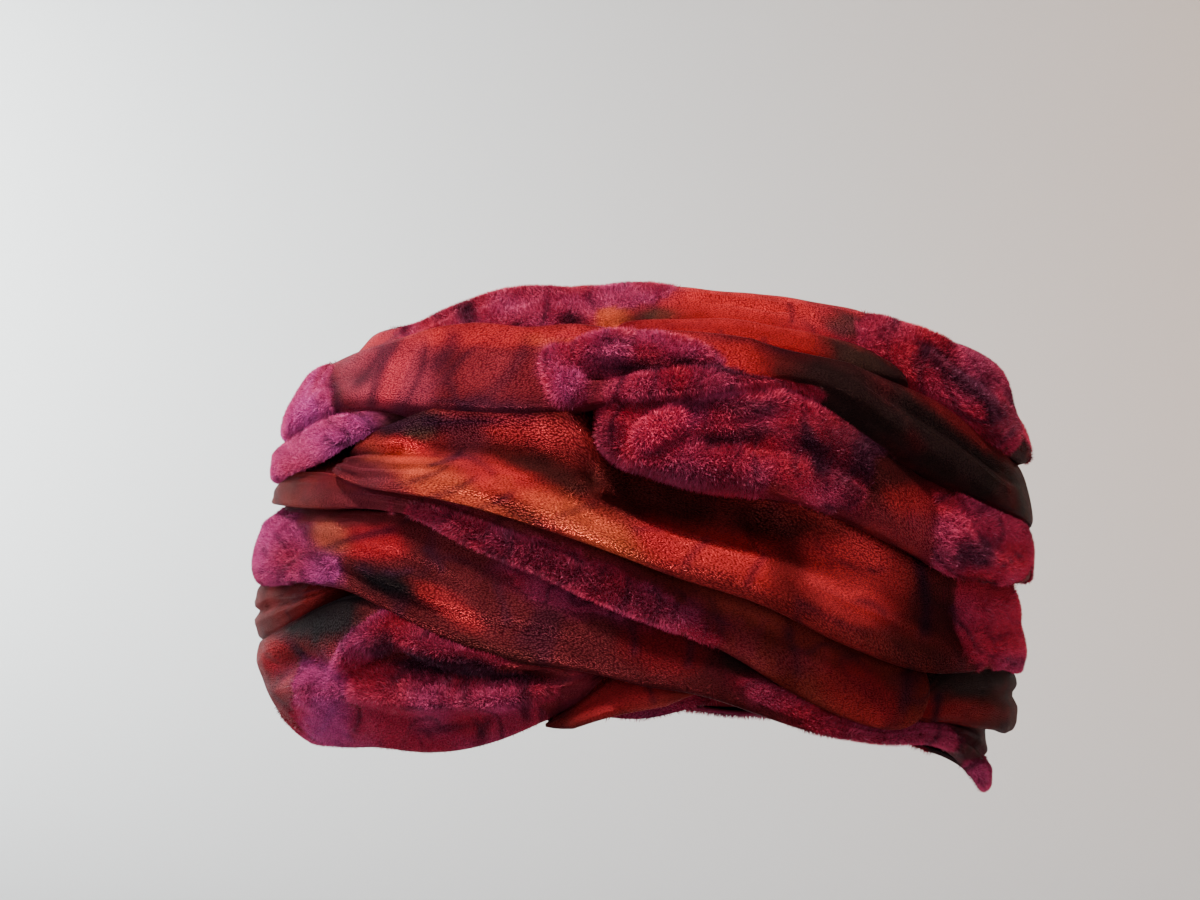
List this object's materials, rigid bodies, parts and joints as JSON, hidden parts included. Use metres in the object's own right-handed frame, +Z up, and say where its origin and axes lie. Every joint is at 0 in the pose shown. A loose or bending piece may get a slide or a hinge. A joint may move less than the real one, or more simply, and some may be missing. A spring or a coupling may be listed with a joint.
{
  "type": "draped turban hat",
  "caption": "Soft turban hat of figured velvet, its deep folds gathered at one side and wound slantwise round a plain closed crown.",
  "frame": {"origin": "middle of the head opening, level with the brow, where the hat sits on the head", "axes": "+Z up, the front of the hat faces -Y, +X is the right of the picture"},
  "size_m": [0.1916, 0.2335, 0.1146],
  "materials": {
    "crown_cloth": "matte cloth",
    "velvet": "cut pile with a soft sheen",
    "satin": "satin ground with a dull gloss"
  },
  "bodies": {
    "root": {"crown_top": "crown_cloth", "crown_side": "crown_cloth", "top_fold": "velvet", "leaf_fold": "satin", "upper_roll": "satin", "rose_fold": "velvet", "sash": "satin", "under_sash": "satin", "right_roll": "satin", "lower_sash": "satin", "side_tuck": "satin", "side_pouf": "velvet", "cross_strip": "satin"}
  },
  "joints": []
}
